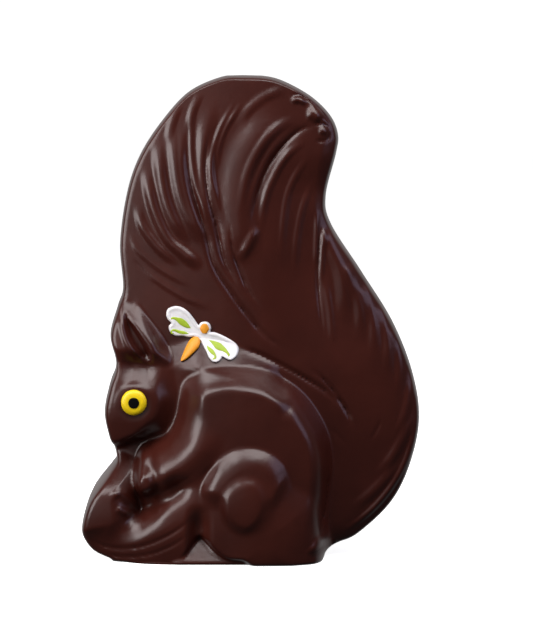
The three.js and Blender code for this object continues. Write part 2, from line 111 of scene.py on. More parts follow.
TOP_LOCKS = [
    (1.4, 0.75, 0.3, 0.4, [(-5, 162), (-11.6, 150), (-13.9, 138), (-12, 127.5), (-9, 114)]),
    (1.4, 0.55, 0.3, 0.3, [(-3, 161), (-8.8, 152), (-11.6, 144), (-12, 136)]),
    (8.4, 1.75, 0.25, 0.25, [(12, 158), (3, 149), (-2.6, 139), (-4.4, 127), (-3.8, 114), (-3.4, 102)]),
    (2.4, 0.5, 0.3, 0.4, [(13, 165.6), (5.4, 163), (-1, 158), (-5, 151)]),
    (2.6, 0.8, 0.3, 0.4, [(17, 156), (8.6, 151.5), (2.6, 144), (-1.6, 134.5), (-3.8, 121)]),
    (2.2, 0.6, 0.3, 0.4, [(14, 150.4), (8.2, 145), (4, 137.6), (0.8, 129), (-0.8, 119)]),
    (1.9, 0.75, 0.3, 0.35, [(20, 148.2), (12.6, 142.4), (8, 135), (4.6, 126), (3.2, 114)]),
    (1.8, 0.5, 0.3, 0.4, [(21, 143), (16, 136), (12.6, 128), (11, 116), (10.4, 104)]),
    (1.8, 0.5, 0.3, 0.4, [(22, 134), (18, 124), (15.8, 112), (15, 98)]),
    (2.4, 1.0, 0.3, 0.4, [(2.4, 118), (-0.8, 111.6), (-4.4, 105)]),
    (1.3, 0.6, 0.3, 0.3, [(23.2, 124), (22.9, 113), (22.6, 102)]),
    (1.8, 0.45, 0.3, 0.4, [(25.4, 100), (27.6, 88), (28.8, 74)]),
    (1.5, 1.0, 0.35, 0.35, [(13.4, 160.8), (16.4, 161.7), (19.4, 160)]),
    (3.0, 1.4, 0.35, 0.35, [(18.8, 157.4), (22, 156.6), (25, 154.6)]),
    (1.9, 0.9, 0.4, 0.4, [(23, 150.6), (25.2, 150.8), (27.4, 150)]),
]
RIGHT_LOCKS = [
    (1.6, 0.8, 0.1, 0.5, [(26, 117), (24.9, 109), (24.2, 96)]),
    (4.2, 1.5, 0.12, 0.6, [(26.6, 117), (29.4, 109), (32.2, 101), (33, 92), (32, 80)]),
    (3.4, 1.3, 0.12, 0.6, [(33.6, 105), (36.6, 97), (38.6, 87), (38.2, 75)]),
    (3.2, 1.1, 0.12, 0.6, [(39.6, 97), (42.2, 89), (43.6, 80), (43, 69)]),
    (2.8, 1.0, 0.12, 0.6, [(45, 90), (47.4, 82), (48.6, 74), (47.6, 63)]),
    (2.6, 0.8, 0.12, 0.6, [(49.6, 82), (52, 74), (52.8, 66), (51.4, 56)]),
    (2.2, 0.6, 0.3, 0.4, [(57, 66), (56, 58), (53.6, 49), (50, 42)]),
    (2.6, 0.7, 0.3, 0.4, [(57.4, 52), (54, 43), (49, 34.6), (43, 28)]),
    (2.6, 0.6, 0.3, 0.4, [(52, 34), (46.6, 27), (40, 21), (34, 17)]),
]
RIM = (1.7, 1.0, 0.3, 0.3, [(58.2, 52), (57.2, 42), (53.6, 31.6), (46.6, 21), (38.6, 13.4), (30.6, 8)])
TAIL_GROOVES = [
    (2.2, 1.6, 0.3, 0.2, [(-22.6, 150), (-22.6, 140), (-20.4, 128.6), (-16.6, 117.4), (-13.2, 104), (-7, 94),
                          (-1, 86), (6, 78), (14, 73.6)]),
    (2.3, 1.7, 0.3, 0.25, [(-14, 153), (-16, 141), (-15.4, 130), (-12.4, 118), (-9.6, 105.6), (-4.4, 96)]),
    (1.6, 1.2, 0.3, 0.4, [(-7.6, 120), (-7, 112), (-4.8, 104), (-1, 95), (4, 88)]),
    (2.6, 1.5, 0.25, 0.35, [(24, 153), (17, 151), (10, 144.4), (4.6, 136), (1.4, 126), (0, 117)]),
    (1.5, 1.1, 0.3, 0.4, [(23.9, 122), (23.6, 108), (23.4, 96), (24.6, 84), (25.6, 76)]),
    (1.9, 1.5, 0.2, 0.3, [(-5, 75), (2, 73), (12, 68), (20, 63.4), (27, 58.6), (32, 53)]),
    (1.6, 1.2, 0.3, 0.3, [(20, 68.6), (27, 62), (32.6, 54), (36, 46)]),
    (1.8, 0.8, 0.3, 0.4, [(29, 58), (32, 55), (36, 48)]),
    (1.2, 0.4, 0.3, 0.4, [(27, 47), (31, 43.4), (35, 38)]),
    (1.4, 0.5, 0.3, 0.4, [(46, 49.4), (44, 45), (41.6, 41.4)]),
    (1.3, 1.1, 0.3, 0.3, [(12.6, 162), (16, 163.6), (20, 161.6), (24.4, 158), (27, 154), (28.4, 151)]),
    (1.2, 0.9, 0.3, 0.3, [(21, 153.2), (25, 153.2), (28, 151.6)]),
    (1.3, 0.8, 0.3, 0.3, [(28, 150.6), (26.4, 147.6), (22, 147.4)]),
    (0.9, 0.4, 0.3, 0.4, [(-42, 106), (-38, 102), (-33, 98.4)]),
]

# ---- Body: outlines of its parts, each at the foot of the part's flank -----------------------------------
NECK = [
    (-62, 76), (-50, 84), (-38, 80), (-31, 76), (-27, 76.5), (-20, 78.4), (-10, 77.4), (0, 74), (10, 67),
    (10, 50), (0, 34), (-30, 32), (-38, 42), (-62, 44),
]
TORSO = [
    (-26, 58), (-25, 62.4), (-21.8, 66.2), (-15.6, 68.4), (-6, 69), (4, 67.6), (12, 64), (18.6, 58.8),
    (23.6, 52), (27, 45), (28.8, 37), (28.8, 28), (27.6, 14), (26, -14), (-34, -14), (-37, 6), (-40, 20),
    (-41.6, 28), (-41.6, 34), (-39.6, 39), (-36, 42.4), (-30.6, 45.2), (-27.4, 51),
]
HEAD = [
    (-27.6, 74), (-26, 69), (-25.4, 63), (-25.6, 57), (-26.9, 50.6), (-30, 45.6), (-36, 42.8),
    (-41, 41), (-49, 38.6), (-62, 42), (-66, 58), (-62, 78), (-46, 84), (-34, 80),
]
EAR = [
    (-44.4, 94), (-41, 91), (-37, 87), (-33, 82.4), (-29.6, 77.4), (-27.4, 72), (-28.6, 68.4), (-34, 68),
    (-38, 68.6), (-43.4, 69.2), (-50, 70), (-62, 74), (-62, 90),
]
EAR_HOLLOW = [
    (-44.8, 87.8), (-41.3, 84.6), (-38, 80), (-35.2, 75), (-34.4, 72), (-36, 70.4), (-38.8, 71.2),
    (-41.4, 74.4), (-43.8, 78.4), (-45.2, 83),
]
NUT = [
    (-43.5, 37.5), (-38, 34), (-34, 24), (-34, 10), (-44, -6), (-60, -14), (-78, 0), (-78, 22), (-70, 34),
    (-58, 38.5), (-50, 38.8),
]
FOOT = [
    (-58, 12), (-48, 14.4), (-44, 15.3), (-39.3, 17.8), (-33.3, 20.5), (-28.7, 22.8), (-25, 25.8),
    (-21.2, 29.4), (-14, 36), (-10, 30), (-10, -14), (-72, -14), (-72, 8),
]
HAUNCH = [
    (-18.2, 4), (-18.4, 15), (-18.2, 26), (-16.2, 31.4), (-12.6, 36.4), (-7, 40.6), (0, 41.8), (6.6, 40.2),
    (11.4, 36), (14.8, 30), (24, 22), (27, 6), (24, -12), (-17, -12),
]
# The sloping ground that fills the gap between foot and haunch.
GROUND = [
    (-29, 0), (-24.6, 3.4), (-20.6, 8.6), (-18, 10.4), (-15, 8.6), (-9, 3.6), (-1, 2), (3, -6), (-30, -6),
]
# The valley between foot and haunch, and the hollow between forearm and foot, as in the tail's tables.
LAP = (5, -3, 0.3, 0.3, [(-18.4, -8), (-18.4, 0), (-18.3, 8), (-18, 22)])
BELLY = (7, -3, 0.15, 0.3, [(-42, 19), (-36, 21), (-30, 23.6), (-25, 26.6), (-20.6, 31)])
BODY_RIDGES = [
    (7.0, 1.3, 0.3, 0.4, [(-14, 49), (-17, 42), (-22.5, 36), (-30, 31), (-37, 27.6)]),
    (2.4, 0.8, 0.2, 0.3, [(-42, 91.4), (-38, 84.4), (-34.4, 77.6), (-31.8, 71.6)]),
    (1.8, 0.8, 0.3, 0.3, [(-45.2, 88), (-44.8, 82), (-43, 76.6), (-39, 71)]),
    (1.8, 1.0, 0.3, 0.3, [(-49.8, 22.6), (-46, 24.6), (-42.5, 21.6), (-38.2, 18.6)]),
    (1.6, 0.9, 0.3, 0.3, [(-47.5, 20), (-44.5, 18), (-42, 17.8)]),
    (2.4, 0.9, 0.3, 0.3, [(24.6, 10), (23, 6.6), (20.6, 4)]),
]
BODY_GROOVES = [
    (1.6, 0.5, 0.3, 0.4, [(-39, 23.4), (-34, 24), (-28, 26.8), (-23.4, 29.8), (-19, 33.6)]),
    (1.2, 0.8, 0.2, 0.3, [(-57, 8.6), (-52, 5.8), (-46, 5.2), (-38, 6.4), (-28, 11), (-19, 17.6)]),
    (1.2, 0.6, 0.2, 0.3, [(-53, 3.6), (-46, 2), (-36, 3.4), (-27, 7.2), (-20, 12.4)]),
    (1.7, 2.2, 0.15, 0.3, [(27, 31), (26.8, 25), (26.2, 19), (25.2, 14), (24, 8.6)]),
]
# Crown of each part: where it is highest, its half thickness there, and its fall over a radius.
CROWNS = {
    "nut": (-49, 16, 25.6, 3, 18),
    "torso": (2, 42, 28.6, 3, 47),
    "head": (-42, 54, 22.6, 3, 16),
    "ear": (-40, 80, 21.4, 2, 16),
    "paw": (-37.2, 28.6, 27.2, 1.2, 5),
    "foot": (-22, 16, 28.4, 9, 40),
    "haunch": (1, 20, 32.8, 4, 40),
    "knee": (-1, 21, 34.4, 2.2, 16),
}
EAR_DEPTH = 3.2
PAW = (-37, 28.6, 5.2, 6.6)  # ovals: middle and half widths
KNEE = (-1, 21.5, 10.8, 10.8)
PLINTH = (-14, 40, 28.6, 3)  # middle, half length, half depth, and its fall per millimetre of height
GROUND_FALL = 0.62  # slope of the ground between the legs
BASE_EDGE = 1.2  # radius of the edge round the underside

# ---- Sugar decorations: half widths follow x and z where a knot holds three numbers ----------------------
EYE = (-41, 56.5)
EYE_SEAT = 21.7  # half thickness of the flat spot that carries the eye
EYE_SEAT_RADIUS = 7.4
PUPIL_HEIGHT = 0.35  # how far the pupil stands off the eye
BEDDING = 0.05  # how deep the wings lie in the chocolate
FIELD_LEVEL = 0.8  # level of the wings inside their raised border, as a share of their thickness
WING_CENTRE = (-17.2, 80)
WINGS = [
    (-16.3, 84.2), (-17.8, 83.8), (-18.6, 83), (-20, 85), (-22, 87.5), (-24.5, 89.2), (-27, 89.5),
    (-29.3, 88.5), (-29.9, 86.5), (-29.3, 84.8), (-28.2, 83.5), (-29, 82.5), (-28.8, 80.8), (-27.5, 79.5),
    (-26, 79), (-24, 79), (-22, 78.6), (-20, 78.7), (-17.9, 77.6), (-17, 76), (-15.8, 73.8), (-14.8, 71.8),
    (-13.5, 70.5), (-11.8, 70.3), (-10.5, 71.3), (-10, 72), (-7.8, 71), (-6.3, 71.3), (-5, 72.5),
    (-4.4, 74.5), (-5.3, 76.3), (-7.5, 78), (-10, 79.3), (-12.5, 80.3), (-14.3, 80.6), (-14.1, 82),
    (-14.8, 83.6),
]
WING_FIELDS = [
    [(-21.2, 81.9, 0), (-22.6, 82.8, 0.8), (-24.4, 84.1, 1.15), (-26.2, 85.1, 0.6), (-27.6, 85.4, 0.35),
     (-28.2, 84.9, 0.25), (-27.9, 84.4, 0)],
    [(-21.9, 79.9, 0), (-23.4, 80.2, 0.55), (-25.2, 80.5, 0.6), (-26.8, 81.1, 0.45), (-27.9, 80.9, 0.35),
     (-27.9, 80.1, 0.3), (-26.9, 79.9, 0)],
    [(-15, 77.8, 0), (-13.4, 77, 0.6), (-11.6, 75.8, 1.2), (-9.8, 74.8, 0.8), (-8.5, 73.7, 0.45),
     (-7.9, 72.7, 0.35), (-8.4, 72.1, 0)],
    [(-15.6, 76.1, 0), (-14.9, 75, 0.55), (-13.7, 73.9, 0.7), (-12.8, 72.9, 0.4), (-12.6, 72, 0.35),
     (-13.3, 71.5, 0.25), (-13.8, 71.9, 0)],
]
SUGAR_HEAD = [(-16.4, 83.6, 0), (-16.4, 83.3, 0.9), (-16.4, 81.8, 1.6), (-16.4, 80.3, 0.9), (-16.4, 80, 0)]
ABDOMEN = [
    (-18.4, 79, 0), (-18.9, 78.4, 1.2), (-20, 76.6, 1.95), (-21.6, 74.4, 1.7), (-23.2, 72.2, 1.1),
    (-24.3, 70.9, 0.5), (-24.6, 70.4, 0),
]


# ---- Curves ---------------------------------------------------------------------------------------------
def through(points, steps, closed=False):
    """Catmull-Rom curve through points that may carry more than two numbers each."""
    p = np.asarray(points, float)
    count = len(p)
    at = (lambda i: p[i % count]) if closed else (lambda i: p[min(max(i, 0), count - 1)])
    t = np.linspace(0, 1, steps, endpoint=False)[:, None]
    spans = []
    for i in range(count if closed else count - 1):
        a, b, c, d = at(i - 1), at(i), at(i + 1), at(i + 2)
        v0, v1 = (c - a) / 2, (d - b) / 2
        cubic, square = 2 * b - 2 * c + v0 + v1, -3 * b + 3 * c - 2 * v0 - v1
        spans.append(cubic * t**3 + square * t**2 + v0 * t + b)
    spans.append(at(0)[None] if closed else p[-1:])
    return np.vstack(spans)


def nearest_on_segment(x, z, a, b):
    """Where along a segment each point is nearest, and how far away it is."""
    dx, dz = b[0] - a[0], b[1] - a[1]
    t = np.clip(((x - a[0]) * dx + (z - a[1]) * dz) / (dx * dx + dz * dz), 0, 1)
    return t, np.hypot(x - a[0] - t * dx, z - a[1] - t * dz)


def nearest(x, z, line):
    """Distance to a line, and the share of its length at the nearest point."""
    run = np.concatenate([[0], np.cumsum(np.linalg.norm(np.diff(line[:, :2], axis=0), axis=1))])
    gap, share = np.full(x.shape, np.inf), np.zeros(x.shape)
    for i in range(len(line) - 1):
        t, distance = nearest_on_segment(x, z, line[i], line[i + 1])
        closer = distance < gap
        gap = np.where(closer, distance, gap)
        share = np.where(closer, (run[i] + t * (run[i + 1] - run[i])) / run[-1], share)
    return gap, share


def within(x, z, line):
    """Whether each point lies inside a closed line."""
    inside = np.zeros(x.shape, bool)
    for a, b in zip(line[:-1], line[1:]):
        if a[1] != b[1]:
            inside ^= ((a[1] > z) != (b[1] > z)) & (x < a[0] + (z - a[1]) * (b[0] - a[0]) / (b[1] - a[1]))
    return inside


# ---- Profiles -------------------------------------------------------------------------------------------
def smooth(t):
    """A rise from 0 to 1 that is level at both ends."""
    t = np.clip(t, 0, 1)
    return t * t * (3 - 2 * t)


def quarter(t):
    """A rise from 0 to 1 along a quarter circle: upright at first, level at the end."""
    return np.sqrt(1 - (1 - np.clip(t, 0, 1)) ** 2)


def cover(below, top, share):
    """Lays one form over another, wherever its share is above 0."""
    return below + (top - below) * share


def taper(share, head, tail):
    """Fades a long form in and out over the given shares of its length."""
    return smooth(share / head) * smooth((1 - share) / tail)


def swell(t, start=0.12, end=0.7):
    """A flank that leaves its valley in a short fillet, stands evenly steep and rounds off broadly."""
    t = np.clip(t, 0, 1)
    rise = np.where(t < start, t * t / (2 * start), t - start / 2)
    rise = np.where(t > end, end - start / 2 + ((1 - end) ** 2 - (1 - t) ** 2) / (2 * (1 - end)), rise)
    return rise * 2 / (1 + end - start)


def crown(t):
    """A flank that is steepest just above its foot and rounds off over all its width."""
    return swell(t, 0.1, 0.12)


def straight(t):
    return np.clip(t, 0, 1)


def patch(x, z, knots, flank, profile=smooth):
    """A part of the body inside a closed outline, with a flank of the given width."""
    outline = through(knots, 8, True)
    depth = np.zeros(x.shape)
    inside = within(x, z, outline)
    depth[inside] = nearest(x[inside], z[inside], outline)[0]
    return profile(depth / flank)


def disc(x, z, cx, cz, rx, rz, flank):
    """A part of the body inside an oval, with a flank of the given width."""
    return smooth((1 - np.hypot((x - cx) / rx, (z - cz) / rz)) * min(rx, rz) / flank)


def dome(x, z, part):
    """Half thickness of a part, which falls away round its crown."""
    cx, cz, half, fall, radius = CROWNS[part]
    return half - fall * ((x - cx) ** 2 + (z - cz) ** 2) / radius**2


def long_form(x, z, width, height, head, tail, knots, profile):
    """A long form of the given width and height along a curve, tapered at its ends."""
    line = through(knots, 6)
    low, high = line.min(axis=0) - width, line.max(axis=0) + width
    close = (x > low[0]) & (x < high[0]) & (z > low[1]) & (z < high[1])
    form = np.zeros(x.shape)
    gap, share = nearest(x[close], z[close], line)
    form[close] = height * profile(np.minimum(gap / width, 1)) * taper(share, head, tail)
    return form


def round_top(t):
    return (1 - t * t) ** 2


def sharp_bottom(t):
    return 1 - quarter(t)


# ---- Relief: half thickness of the chocolate at (x, z), in millimetres ---------------------------------
FRONT_LINE, BACK_LINE = through(FRONT, 24), through(BACK, 24)
OUTLINE = np.vstack([through(FRONT, 12), through(BACK, 12)[-2::-1]])


def seam_edge(x, z):
    """Share of the full thickness: a steep wall at the mould's seam, a rounded corner and a faint fall.

    The corner is tightest round the top, and broadest along the back.
    """
    gap, _ = nearest(x, z, OUTLINE)
    top, back = smooth((z - 148) / 12), smooth((x - 18) / 12)
    wall = 0.78 + 0.1 * top - 0.2 * back
    corner = 0.14 - 0.07 * top + 0.2 * back
    face = 1 - wall - corner
    radius = 2.8 - 1.4 * top + 7 * back
    return wall * quarter(gap / 1.4) + corner * quarter(gap / radius) + face * quarter(gap / 24)


def tail_relief(x, z):
    """A broad cushion, thinner to the sides and to the top, with its locks of fur."""
    middle, start = TAIL_MIDDLE
    left, right, height = TAIL_REACH
    side = (x - middle) / np.where(x < middle, left, right)
    top = np.maximum((z - start) / height, 0)
    turn = smooth((x - 3) / 20) * smooth((z - 62) / 40) * (1 - smooth((z - 128) / 16))
    h = TAIL_HALF - TAIL_SIDE_FALL * side**2 - TAIL_TOP_FALL * top**2 - TAIL_TURN * turn
    for form in LEFT_LOCKS + TOP_LOCKS + RIGHT_LOCKS + [RIM]:
        h += long_form(x, z, *form, round_top)
    for form in TAIL_GROOVES:
        h -= long_form(x, z, *form, sharp_bottom)
    return h


def nape_step(x, z):
    """How far the shoulders swell out of the tail: most at the nape, and little behind the back."""
    nape = smooth((x + 27) / 11) * (1 - 0.8 * smooth((x + 3) / 8))
    return (3.4 + 2.6 * nape * smooth((z - 60) / 8)) * patch(x, z, NECK, 8 + 3 * nape, straight)


def torso_flank(x, z):
    """Round along the forearm, and steeper at the throat, over the back and down it."""
    throat, back = smooth((-36 - x) / 6), smooth((x - 8) / 8)
    crest = np.maximum(smooth((x + 21) / 6) * smooth((z - 50) / 8), back)
    corner = smooth((z - 40) / 20) * (1 - smooth((x + 18) / 10))
    reach = 12 - 7 * smooth((-34 - x) / 6) + corner - 3.6 * crest + 0.6 * back
    start = 0.15 - 0.1 * np.maximum(crest, throat)
    end = cover(0.2, 0.68 - 0.34 * back, crest) + 0.4 * throat
    return patch(x, z, TORSO, reach, lambda t: swell(t, start, end))


def head_half(x, z):
    """The head falls away behind the forehead."""
    return dome(x, z, "head") - 3 * smooth((z - 59) / 10) * smooth((x + 49) / 8) * smooth((-30 - x) / 7)


def head_flank(x, z):
    """Short at the nose, and long behind the eye."""
    reach = 4 + 3.5 * smooth((x + 43) / 10) + 2.2 * smooth((z - 56) / 6) * smooth((x + 40) / 5)
    return patch(x, z, HEAD, reach, swell)


def ear_half(x, z):
    """The ear gets thinner to its tip."""
    return dome(x, z, "ear") - (0.25 * np.maximum(z - 70, 0) + 0.25 * np.maximum(z - 84, 0))


def haunch_flank(x, z):
    """Short over the front and the top, and long where the haunch runs out into the back and the base."""
    out = np.maximum(smooth((x - 0.9 * (z - 21) - 2) / 8), smooth((27 - z) / 8))
    return patch(x, z, HAUNCH, 6 + 1.5 * smooth((x + 14) / 6) + 14 * out, crown)


def body_relief(x, z, below, edge):
    """Lays the parts of the body over the tail, from the nape to the knee."""
    h = below + nape_step(x, z) * edge
    h = cover(h, dome(x, z, "nut") * edge, patch(x, z, NUT, flank=16, profile=lambda t: swell(t, 0.06, 0.6)))
    h = cover(h, dome(x, z, "torso") * edge, torso_flank(x, z))
    h += long_form(x, z, *BELLY, round_top)
    h = cover(h, head_half(x, z) * edge, head_flank(x, z))
    h = cover(h, ear_half(x, z) * edge, patch(x, z, EAR, flank=6, profile=swell))
    h -= EAR_DEPTH * patch(x, z, EAR_HOLLOW, flank=2.6)
    h = cover(h, dome(x, z, "paw"), disc(x, z, *PAW, flank=4))
    h = cover(h, dome(x, z, "foot") * edge, patch(x, z, FOOT, flank=9, profile=crown))
    h = cover(h, dome(x, z, "haunch"), haunch_flank(x, z))
    knee_flank = 4 + 6 * smooth((x + 1 - 0.2 * (z - 22)) / 8)
    h = cover(h, dome(x, z, "knee"), disc(x, z, *KNEE, knee_flank))
    h += long_form(x, z, *LAP, round_top)
    for form in BODY_RIDGES:
        h += long_form(x, z, *form, round_top)
    for form in BODY_GROOVES:
        h -= long_form(x, z, *form, sharp_bottom)
    return cover(h, EYE_SEAT, disc(x, z, *EYE, EYE_SEAT_RADIUS, EYE_SEAT_RADIUS, flank=3.2))


def plinth_relief(x, z, below):
    """The flat foot under the figure, and the slope that rises from it between the legs."""
    middle, length, depth, fall = PLINTH
    u = np.minimum(np.abs(x - middle) / length, 1)
    h = np.maximum(below, depth * np.sqrt(1 - u**4) - fall * z)
    h = cover(h, depth - GROUND_FALL * z, patch(x, z, GROUND, flank=2))
    return h - BASE_EDGE * (1 - quarter(z / BASE_EDGE)) * (below > BASE_EDGE)


def relief(x, z):
    edge = seam_edge(x, z)
    h = body_relief(x, z, tail_relief(x, z) * edge, edge)
    return np.maximum(plinth_relief(x, z, h), 0)


# ---- Materials ------------------------------------------------------------------------------------------
def linear(hex_colour):
    """sRGB hex to linear RGBA."""
    values = [int(hex_colour[i:i + 2], 16) / 255 for i in (1, 3, 5)]
    return (*[v / 12.92 if v <= 0.04045 else ((v + 0.055) / 1.055) ** 2.4 for v in values], 1.0)


def add_node(owner, kind, settings=(), links=()):
    """A node of a material or a world with its settings, and links from (node, output) to its inputs."""
    node = owner.node_tree.nodes.new(kind)
    for name, value in dict(settings).items():
        if name in node.inputs:
            node.inputs[name].default_value = value
        else:
            setattr(node, name, value)
    for name, (source, output) in dict(links).items():
        owner.node_tree.links.new(source.outputs[output], node.inputs[name])
    return node


def new_material(name):
    material = bpy.data.materials.new(name)
    material.use_nodes = True
    return material, material.node_tree.nodes["Principled BSDF"]


def clouded(name, light, dark, cloud_width, wave_width, wave_strength, roughness):
    """A finish whose tint drifts between two colours, over a faintly uneven surface, with widths in mm."""
    material, shader = new_material(name)
    links = material.node_tree.links
    place = add_node(material, "ShaderNodeTexCoord")
    cloud = add_node(material, "ShaderNodeTexNoise", {"Scale": 1 / (cloud_width * MM), "Detail": 3.0},
                     {"Vector": (place, "Object")})
    tint = add_node(material, "ShaderNodeValToRGB", links={"Fac": (cloud, "Fac")})
    for element, colour, position in zip(tint.color_ramp.elements, (dark, light), (0.3, 0.7)):
        element.color = (*colour, 1)
        element.position = position
    links.new(tint.outputs["Color"], shader.inputs["Base Color"])
    uneven = add_node(material, "ShaderNodeTexNoise", {"Scale": 1 / (wave_width * MM), "Detail": 2.0},
                      {"Vector": (place, "Object")})
    bump = add_node(material, "ShaderNodeBump", {"Strength": wave_strength, "Distance": MM},
                    {"Height": (uneven, "Fac")})
    links.new(bump.outputs["Normal"], shader.inputs["Normal"])
    shader.inputs["Roughness"].default_value = roughness
    return material, shader


def tempered_dark_chocolate(colours):
    """Tempered dark chocolate from a polished mould: glossy, with a faint waviness of the mould's wall."""
    material, shader = clouded("tempered_dark_chocolate", colours.chocolate_light, colours.chocolate_dark,
                               cloud_width=16.7, wave_width=3.33, wave_strength=0.07, roughness=0.28)
    shader.inputs["IOR"].default_value = 1.5
    return material


def sugar_paste(name, colour, roughness=0.5):
    """Coloured sugar paste: matt, slightly translucent, its fine grain drawn 1.1 mm wide so that it shows."""
    material, shader = clouded(name, colour, [0.86 * part for part in colour],
                               cloud_width=4.55, wave_width=1.11, wave_strength=0.05, roughness=roughness)
    shader.inputs["Subsurface Weight"].default_value = 0.15
    shader.inputs["Subsurface Radius"].default_value = (0.0006, 0.0005, 0.0004)
    return material


def black_sugar_glaze(colour):
    """Black sugar glaze, so dark and matt that it shows no highlight."""
    material, shader = clouded("black_sugar_glaze", colour, colour,
                               cloud_width=5, wave_width=1.11, wave_strength=0.05, roughness=0.7)
    shader.inputs["Specular IOR Level"].default_value = 0.1
    return material


# ---- Pieces ---------------------------------------------------------------------------------------------
def add_object(name, data):
    """A new object in the scene that holds the data."""
    new = bpy.data.objects.new(name, data)
    bpy.context.scene.collection.objects.link(new)
    return new


def add_mesh(name, bm, material):
    """A new object in the scene made from a bmesh, in one material."""
    mesh = bpy.data.meshes.new(name)
    bm.to_mesh(mesh)
    bm.free()
    mesh.materials.append(material)
    return add_object(name, mesh)


def finish_piece(name, bm, material, slot, *nodes):
    """Turns a bmesh into a smooth piece that rides on the body and stands for CAD nodes."""
    bmesh.ops.recalc_face_normals(bm, faces=bm.faces)
    piece = add_mesh(name, bm, material)
    piece.data.shade_smooth()
    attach(piece, "root")
    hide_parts(*nodes)


def grid(along, across):
    """A grid and, for each of its points, its shares of the way along and across."""
    bm = bmesh.new()
    bmesh.ops.create_grid(bm, x_segments=along, y_segments=across, size=1)
    at = np.array([vert.co for vert in bm.verts])
    return bm, (at[:, 0] + 1) / 2, (at[:, 1] + 1) / 2


def press_out(bm, x, z, half):
    """Moves the grid's points to (x, z), so many millimetres out on the side that shows."""
    for vert, *place in zip(bm.verts, x + SHIFT_X, -half, z):
        vert.co = Vector(place) * MM


def lay_on(bm, x, z, lift):
    """Lays the grid's points at (x, z) on the chocolate, lifted off it, and closes the grid's seams."""
    press_out(bm, x, z, relief(x, z) + lift)
    bmesh.ops.remove_doubles(bm, verts=bm.verts, dist=1e-5)


def level(row, rows, height):
    """Rings at growing depth below the top: closer together at the round top and at the foot."""
    return height * (1 - (row / rows) ** 1.25) ** 1.12


def half_relief(height, columns, rows):
    """One half of the figure as a grid of columns across and rings up, pressed out towards -Y."""
    bm, across, up = grid(columns, rows)
    z = level(np.rint((1 - up) * rows), rows, height)
    left = np.interp(z, FRONT_LINE[:, 1], FRONT_LINE[:, 0])
    right = np.interp(z, BACK_LINE[:, 1], BACK_LINE[:, 0])
    # Columns gather towards the outline, where the surface turns away fastest.
    way = 2 * across - 1
    x = (left + right) / 2 + (right - left) / 2 * (0.35 * way + 0.65 * np.sin(math.pi / 2 * way))
    at_seam = np.abs(way) > 0.9999
    press_out(bm, x, z, np.where(at_seam, 0, relief(x, z)))
    return bm


def stroke(knots, lift, height):
    """A drop of paste along knots of x, z and half width, oval and flatter below, laid on the chocolate."""
    line = through(knots, 10)
    bm, along, around = grid(len(line) - 1, 24)
    step = np.rint(along * (len(line) - 1)).astype(int)
    run = np.gradient(line[:, :2], axis=0)
    run /= np.linalg.norm(run, axis=1)[:, None]
    width = line[step, 2] / line[:, 2].max()
    angle = 2 * math.pi * around
    side = line[step, 2] * np.cos(angle)
    lay_on(bm, line[step, 0] - run[step, 1] * side, line[step, 1] + run[step, 0] * side,
           lift + height * np.sqrt(width) * np.sin(angle) * np.where(angle < math.pi, 1, 0.4))
    return bm


def plate(knots, centre, thickness, border):
    """A plate of paste inside an outline round a centre, with a rounded and slightly raised border."""
    outline = through(knots, 8, True)
    bm, around, over = grid(len(outline) - 1, 60)
    rim = outline[np.rint(around * (len(outline) - 1)).astype(int)]
    share = 1 - 2 * over
    radius = (1 - np.abs(share) ** 1.6)[:, None]
    x, z = (np.asarray(centre) * (1 - radius) + rim * radius).T
    gap = nearest(x, z, outline)[0]
    rounding = FIELD_LEVEL * quarter(gap / (0.6 * border))
    top = thickness * (rounding + 0.12 * round_top(np.minimum(gap / border - 1, 1)))
    lay_on(bm, x, z, np.where(share > 0, np.maximum(top, 0), 0) - BEDDING)
    return bm


def button(radius, height, flat, steps):
    """A round button turned about Y, its front at -Y and rounded off round a flat middle."""
    bm = bmesh.new()
    profile = [(0, 0), (radius, 0)]
    for angle in np.linspace(0, math.pi / 2, 9)[1:]:
        profile.append((flat + (radius - flat) * math.cos(angle), height * (0.3 + 0.7 * math.sin(angle))))
    profile.append((0, height))
    verts = [bm.verts.new((r, -y, 0)) for r, y in profile]
    edges = [bm.edges.new(pair) for pair in zip(verts, verts[1:])]
    bmesh.ops.spin(bm, geom=verts + edges, cent=(0, 0, 0), axis=(0, 1, 0), angle=2 * math.pi, steps=steps,
                   use_merge=True)
    bmesh.ops.remove_doubles(bm, verts=bm.verts, dist=1e-4)
    return bm


def set_eye(bm, side, out):
    """Moves a button to the eye's place, so many millimetres out from the middle of the figure."""
    if side > 0:
        bmesh.ops.rotate(bm, verts=bm.verts, matrix=Matrix.Rotation(math.pi, 3, "Z"))
    bmesh.ops.scale(bm, verts=bm.verts, vec=(MM, MM, MM))
    bmesh.ops.translate(bm, verts=bm.verts, vec=Vector((EYE[0] + SHIFT_X, side * out, EYE[1])) * MM)


class SquirrelSizes(bpy.types.PropertyGroup):
    """Sizes of the figure"""

    height: bpy.props.FloatProperty(
        name="Height", description="From the base to the top of the tail", default=0.17, unit="LENGTH")
    columns: bpy.props.IntProperty(
        name="Columns", description="Steps across each half of the mould", default=208, min=20)
    rows: bpy.props.IntProperty(
        name="Rings", description="Steps from the top to the base", default=234, min=30)


class SugarSizes(bpy.types.PropertyGroup):
    """Sizes of the sugar decorations"""

    eye_radius: bpy.props.FloatProperty(
        name="Eye radius", description="Half the width of the yellow eye", default=0.0045, unit="LENGTH")
    eye_height: bpy.props.FloatProperty(
        name="Eye height", description="How far the eye stands off its seat", default=0.002, unit="LENGTH")
    pupil_radius: bpy.props.FloatProperty(
        name="Pupil radius", description="Half the width of the black pupil", default=0.0019, unit="LENGTH")
    wing_thickness: bpy.props.FloatProperty(
        name="Wing thickness", description="Thickness of the dragonfly's plate", default=0.0012,
        unit="LENGTH")


